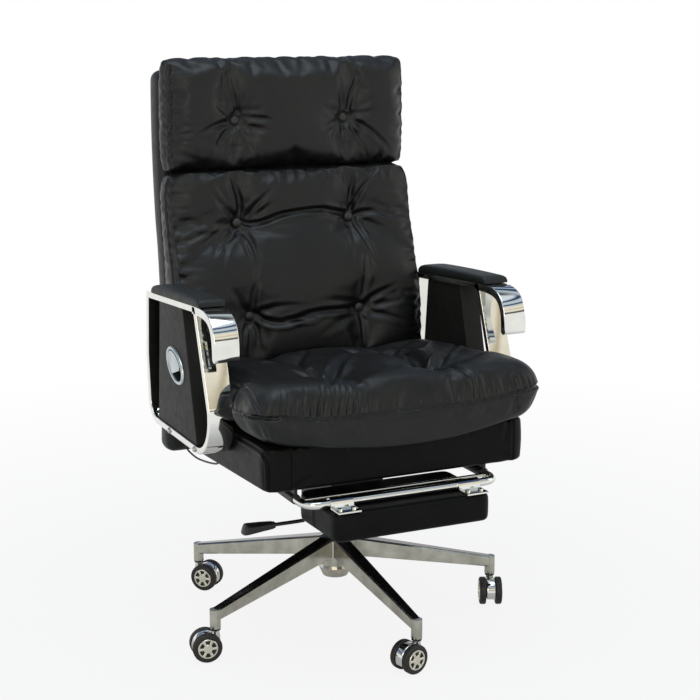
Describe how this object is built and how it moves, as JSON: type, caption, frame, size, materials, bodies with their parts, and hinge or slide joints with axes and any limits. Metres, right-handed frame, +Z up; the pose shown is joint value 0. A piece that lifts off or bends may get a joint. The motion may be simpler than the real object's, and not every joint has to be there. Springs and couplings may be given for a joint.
{
  "type": "reclining office chair",
  "caption": "Reclining office chair with tufted cushions, chromed looped arms, a five-legged base on casters, a height lever and a footrest that slides out from under the seat.",
  "frame": {"origin": "on the floor, under the axis of the gas column, at the middle of the chair's plan", "axes": "+Z up, the sitter faces -Y, the sitter's right hand is at -X"},
  "size_m": [0.7211, 0.7512, 1.1593],
  "materials": {
    "polished_metal": "polished",
    "cast_metal": "polished",
    "gloss_inlay": "gloss",
    "tyre": "matt",
    "black_steel": "satin",
    "zinc_steel": "satin",
    "black_plastic": "satin",
    "black_leather": "semi-gloss, soft",
    "arm_leather": "matt, firm",
    "satin_plate": "satin"
  },
  "bodies": {
    "base": {"base_star": "cast_metal", "base_inlay": "gloss_inlay", "column_tube": "black_steel", "guide_bush": "black_plastic", "piston_rod": "zinc_steel"},
    "cylinder": {"gas_cylinder": "black_steel"},
    "mechanism": {"mechanism_housing": "black_steel", "tilt_pin": "zinc_steel"},
    "tension_knob": {"tension_knob": "black_plastic"},
    "lever_yoke": {"lever_yoke": "black_steel"},
    "lever": {"lever_rod": "black_steel", "lever_grip": "black_plastic"},
    "seat": {"seat_plate": "black_steel", "seat_base": "black_leather", "seat_cushion": "black_leather", "recline_cable": "black_plastic", "handle_bezel": "satin_plate", "arm_frame_right": "polished_metal", "arm_frame_left": "polished_metal", "arm_panel_right": "arm_leather", "arm_panel_left": "arm_leather", "arm_pad_right": "arm_leather", "arm_pad_left": "arm_leather", "arm_mount_right": "zinc_steel", "arm_mount_left": "zinc_steel", "seat_hinge_right": "zinc_steel", "seat_hinge_left": "zinc_steel", "footrest_rail_right": "black_steel", "footrest_rail_left": "black_steel"},
    "recline_handle": {"recline_handle": "satin_plate"},
    "back": {"back_shell": "black_leather", "back_cushion": "black_leather", "head_cushion": "black_leather", "head_button_right": "black_leather", "head_button_left": "black_leather", "mid_button_right": "black_leather", "mid_button_left": "black_leather", "low_button_right": "black_leather", "low_button_left": "black_leather", "back_hinge_right": "zinc_steel", "back_hinge_left": "zinc_steel"},
    "footrest_frame": {"footrest_frame": "polished_metal"},
    "footrest_pad": {"footrest_pad": "black_leather", "hinge_strap_right": "polished_metal", "hinge_strap_left": "polished_metal"},
    "caster_1": {"caster_1_hood": "polished_metal"},
    "caster_1_a": {"caster_1_wheel_a": "tyre"},
    "caster_1_b": {"caster_1_wheel_b": "tyre"},
    "caster_2": {"caster_2_hood": "polished_metal"},
    "caster_2_a": {"caster_2_wheel_a": "tyre"},
    "caster_2_b": {"caster_2_wheel_b": "tyre"},
    "caster_3": {"caster_3_hood": "polished_metal"},
    "caster_3_a": {"caster_3_wheel_a": "tyre"},
    "caster_3_b": {"caster_3_wheel_b": "tyre"},
    "caster_4": {"caster_4_hood": "polished_metal"},
    "caster_4_a": {"caster_4_wheel_a": "tyre"},
    "caster_4_b": {"caster_4_wheel_b": "tyre"},
    "caster_5": {"caster_5_hood": "polished_metal"},
    "caster_5_a": {"caster_5_wheel_a": "tyre"},
    "caster_5_b": {"caster_5_wheel_b": "tyre"}
  },
  "joints": [
    {"name": "lift", "type": "slide", "parent": "base", "child": "cylinder", "axis": [0, 0, 1], "range_m": [0, 0.08]},
    {"name": "swivel", "type": "hinge", "parent": "cylinder", "child": "mechanism", "pos_m": [0, 0, 0.3], "axis": [0, 0, 1], "continuous": true},
    {"name": "tension_turn", "type": "hinge", "parent": "mechanism", "child": "tension_knob", "pos_m": [0, -0.088, 0.24], "axis": [0, 0, 1], "continuous": true},
    {"name": "tilt", "type": "hinge", "parent": "mechanism", "child": "seat", "pos_m": [0, -0.062, 0.33], "axis": [-1, 0, 0], "range_deg": [0, 12], "stiffness_Nm_per_rad": 250, "springref_deg": -20.05},
    {"name": "recline", "type": "hinge", "parent": "seat", "child": "back", "pos_m": [0, 0.24, 0.3663], "axis": [-1, 0, 0], "range_deg": [0, 50]},
    {"name": "footrest_slide", "type": "slide", "parent": "seat", "child": "footrest_frame", "axis": [0, -1, 0], "range_m": [0, 0.22]},
    {"name": "footrest_flip", "type": "hinge", "parent": "footrest_frame", "child": "footrest_pad", "pos_m": [0, -0.326, 0.3556], "axis": [-1, 0, 0], "range_deg": [0, 180]},
    {"name": "lever_lift", "type": "hinge", "parent": "mechanism", "child": "lever_yoke", "pos_m": [-0.0756, -0.076, 0.2805], "axis": [0, 1, 0], "range_deg": [0, 8], "stiffness_Nm_per_rad": 2, "springref_deg": -8.59},
    {"name": "lever_pull", "type": "slide", "parent": "lever_yoke", "child": "lever", "axis": [-1, 0, 0], "range_m": [0, 0.015]},
    {"name": "recline_pull", "type": "hinge", "parent": "seat", "child": "recline_handle", "pos_m": [-0.3308, 0.061, 0.575], "axis": [0, 0, -1], "range_deg": [0, 25], "stiffness_Nm_per_rad": 0.4, "springref_deg": -8.59},
    {"name": "caster_1_swivel", "type": "hinge", "parent": "base", "child": "caster_1", "pos_m": [0.02076, -0.33937, 0.06], "axis": [0, 0, 1], "continuous": true},
    {"name": "caster_1_a_spin", "type": "hinge", "parent": "caster_1", "child": "caster_1_a", "pos_m": [0.00144, -0.34454, 0.0295], "axis": [-0.2588, 0.9659, 0], "continuous": true},
    {"name": "caster_1_b_spin", "type": "hinge", "parent": "caster_1", "child": "caster_1_b", "pos_m": [0.00144, -0.34454, 0.0295], "axis": [-0.2588, 0.9659, 0], "continuous": true},
    {"name": "caster_2_swivel", "type": "hinge", "parent": "base", "child": "caster_2", "pos_m": [0.32917, -0.08513, 0.06], "axis": [0, 0, 1], "continuous": true},
    {"name": "caster_2_a_spin", "type": "hinge", "parent": "caster_2", "child": "caster_2_a", "pos_m": [0.32104, -0.1034, 0.0295], "axis": [-0.9135, 0.4067, 0], "continuous": true},
    {"name": "caster_2_b_spin", "type": "hinge", "parent": "caster_2", "child": "caster_2_b", "pos_m": [0.32104, -0.1034, 0.0295], "axis": [-0.9135, 0.4067, 0], "continuous": true},
    {"name": "caster_3_swivel", "type": "hinge", "parent": "base", "child": "caster_3", "pos_m": [0.18268, 0.28675, 0.06], "axis": [0, 0, 1], "continuous": true},
    {"name": "caster_3_a_spin", "type": "hinge", "parent": "caster_3", "child": "caster_3_a", "pos_m": [0.2, 0.29675, 0.0295], "axis": [0.5, -0.866, 0], "continuous": true},
    {"name": "caster_3_b_spin", "type": "hinge", "parent": "caster_3", "child": "caster_3_b", "pos_m": [0.2, 0.29675, 0.0295], "axis": [0.5, -0.866, 0], "continuous": true},
    {"name": "caster_4_swivel", "type": "hinge", "parent": "base", "child": "caster_4", "pos_m": [-0.21627, 0.26235, 0.06], "axis": [0, 0, 1], "continuous": true},
    {"name": "caster_4_a_spin", "type": "hinge", "parent": "caster_4", "child": "caster_4_a", "pos_m": [-0.20237, 0.24797, 0.0295], "axis": [-0.7193, -0.6947, 0], "continuous": true},
    {"name": "caster_4_b_spin", "type": "hinge", "parent": "caster_4", "child": "caster_4_b", "pos_m": [-0.20237, 0.24797, 0.0295], "axis": [-0.7193, -0.6947, 0], "continuous": true},
    {"name": "caster_5_swivel", "type": "hinge", "parent": "base", "child": "caster_5", "pos_m": [-0.31634, -0.12461, 0.06], "axis": [0, 0, 1], "continuous": true},
    {"name": "caster_5_a_spin", "type": "hinge", "parent": "caster_5", "child": "caster_5_a", "pos_m": [-0.33615, -0.12183, 0.0295], "axis": [0.1392, 0.9903, 0], "continuous": true},
    {"name": "caster_5_b_spin", "type": "hinge", "parent": "caster_5", "child": "caster_5_b", "pos_m": [-0.33615, -0.12183, 0.0295], "axis": [0.1392, 0.9903, 0], "continuous": true}
  ],
  "couplings": [
    {"joint": "footrest_flip", "follows": "footrest_slide", "rad_per_m": 14.27}
  ]
}
